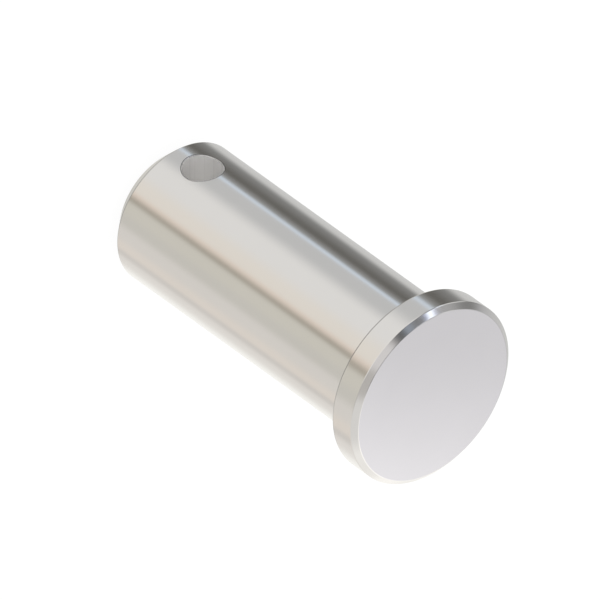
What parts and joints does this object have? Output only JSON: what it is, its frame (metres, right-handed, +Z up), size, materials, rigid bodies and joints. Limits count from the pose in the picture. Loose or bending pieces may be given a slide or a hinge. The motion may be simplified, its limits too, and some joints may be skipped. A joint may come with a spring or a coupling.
{
  "type": "clevis pin",
  "caption": "Plain round pin with a low chamfered head, a chamfered end and a cross hole near the end for a split pin.",
  "frame": {"origin": "centre of the plain end face, on the surface the pin stands on", "axes": "+Z up the shank from the plain end to the head, +X along the cross hole"},
  "size_m": [0.0182, 0.0182, 0.0367],
  "materials": {
    "steel": "fine turned and polished stainless steel"
  },
  "bodies": {
    "root": {"clevis_pin": "steel"}
  },
  "joints": []
}
